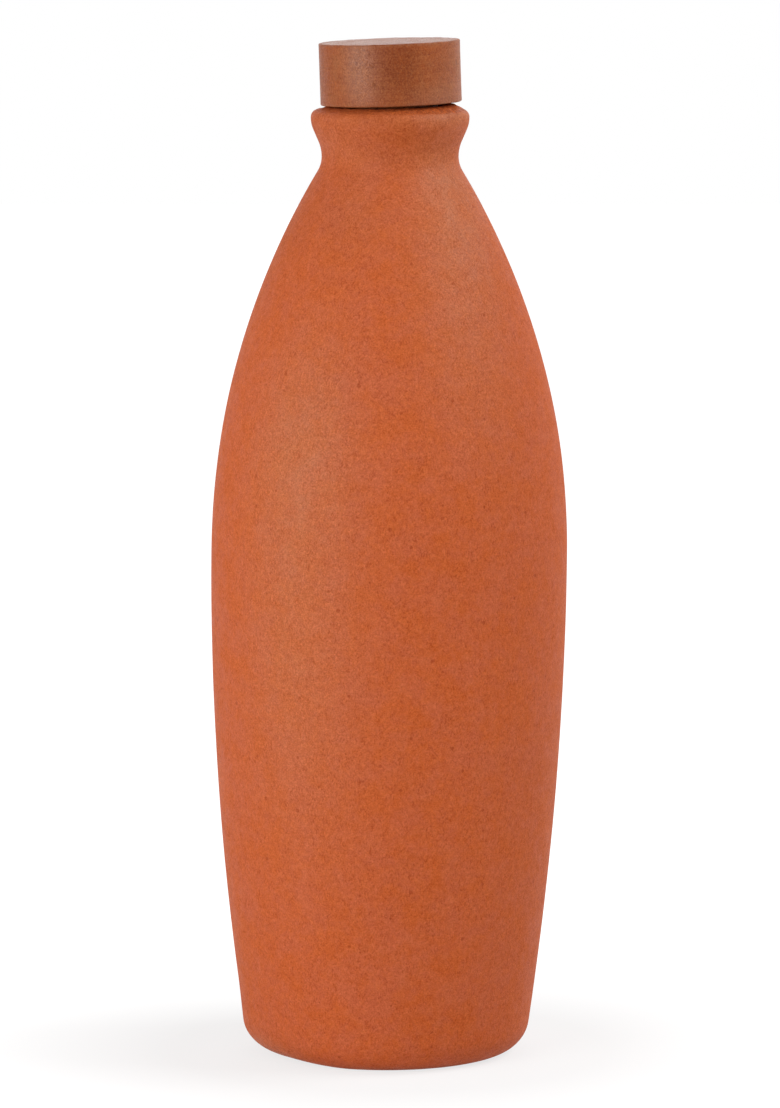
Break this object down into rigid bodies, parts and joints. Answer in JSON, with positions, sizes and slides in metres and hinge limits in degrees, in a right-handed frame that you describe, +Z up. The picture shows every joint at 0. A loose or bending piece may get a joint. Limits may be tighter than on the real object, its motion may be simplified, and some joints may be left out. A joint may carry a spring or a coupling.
{
  "type": "clay water bottle",
  "caption": "Tall terracotta water bottle with a tapered shoulder and flared lip, closed by a flat round clay stopper on seal rings.",
  "frame": {"origin": "centre of the foot, on the surface that the bottle stands on", "axes": "+Z up along the bottle's axis, +X to the right of the picture, -Y towards its camera"},
  "size_m": [0.098, 0.098, 0.2783],
  "materials": {
    "terracotta": "unglazed, matt with a faint burnish",
    "stopper_clay": "unglazed, smoothed",
    "seal_silicone": "milky, satin"
  },
  "bodies": {
    "bottle": {"bottle_body": "terracotta"},
    "seal_rings": {"upper_seal_ring": "seal_silicone", "lower_seal_ring": "seal_silicone"},
    "stopper": {"stopper": "stopper_clay"}
  },
  "joints": [
    {"name": "stopper_lift", "type": "slide", "parent": "bottle", "child": "seal_rings", "axis": [0, 0, 1], "range_m": [0, 0.08]},
    {"name": "stopper_twist", "type": "hinge", "parent": "seal_rings", "child": "stopper", "pos_m": [0.0003, 0, 0.26086], "axis": [-0.0332, 0.007, 0.9994], "continuous": true}
  ]
}
